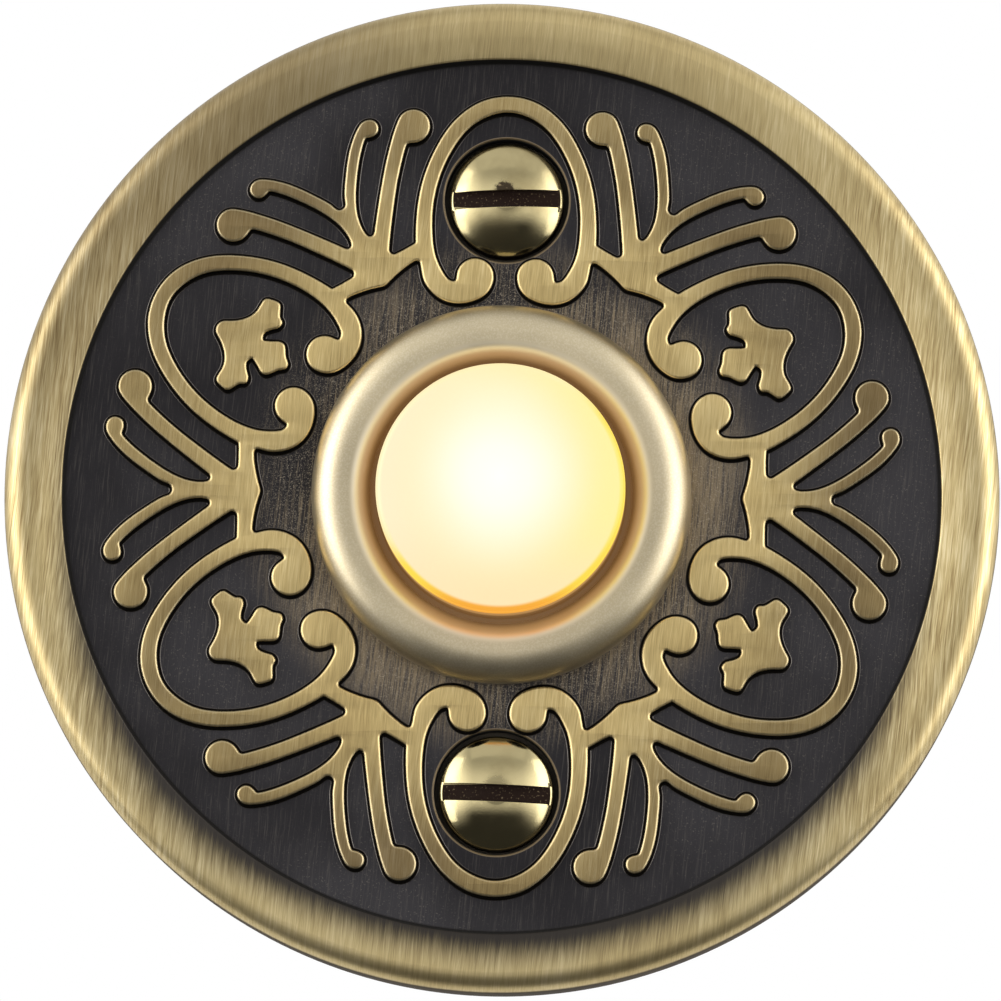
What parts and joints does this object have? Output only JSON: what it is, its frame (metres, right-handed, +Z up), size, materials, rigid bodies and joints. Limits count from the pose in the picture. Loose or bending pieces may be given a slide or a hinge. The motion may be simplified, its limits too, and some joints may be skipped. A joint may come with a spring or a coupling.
{
  "type": "doorbell push button",
  "caption": "Round lit doorbell push button: antique brass plate with raised scrollwork, two slotted screws, a turned ring and a glowing cap that presses in",
  "frame": {"origin": "centre of the plate's back, on the wall, midway between the two fixing screws", "axes": "+Y points from the front into the wall, +Z up, +X to the right for someone who looks at the front"},
  "size_m": [0.0636, 0.0289, 0.0636],
  "materials": {
    "antique_brass": "brushed antique brass with dark patina in the recesses",
    "satin_brass": "satin",
    "polished_brass": "polished",
    "zinc_steel": "zinc plated",
    "lit_cap": "translucent, lit from behind",
    "ivory_plastic": "moulded",
    "contact_metal": "rolled strip",
    "dark_plastic": "moulded",
    "spring_steel": "oiled",
    "lamp_glass": "clear",
    "tinned_wire": "tinned",
    "terminal_brass": "turned"
  },
  "bodies": {
    "plate": {"escutcheon": "antique_brass", "bezel_ring": "satin_brass", "lock_washer": "zinc_steel", "lock_nut": "zinc_steel", "upper_mounting_screw": "polished_brass", "lower_mounting_screw": "polished_brass", "switch_base": "dark_plastic", "retaining_ring": "spring_steel", "lamp_holder": "ivory_plastic", "lamp": "lamp_glass", "right_lamp_lead": "tinned_wire", "left_lamp_lead": "tinned_wire", "right_contact_strip": "contact_metal", "left_contact_strip": "contact_metal", "right_terminal_screw": "terminal_brass", "left_terminal_screw": "terminal_brass", "return_spring": "spring_steel"},
    "button": {"button_cap": "lit_cap", "contact_carrier": "ivory_plastic", "contact_ring": "contact_metal", "upper_contact_rivet": "contact_metal", "lower_contact_rivet": "contact_metal"}
  },
  "joints": [
    {"name": "press", "type": "slide", "parent": "plate", "child": "button", "axis": [0, 1, 0], "range_m": [0, 0.0015], "stiffness_N_per_m": 600, "springref_m": -0.003, "deforming": ["return_spring"]}
  ]
}
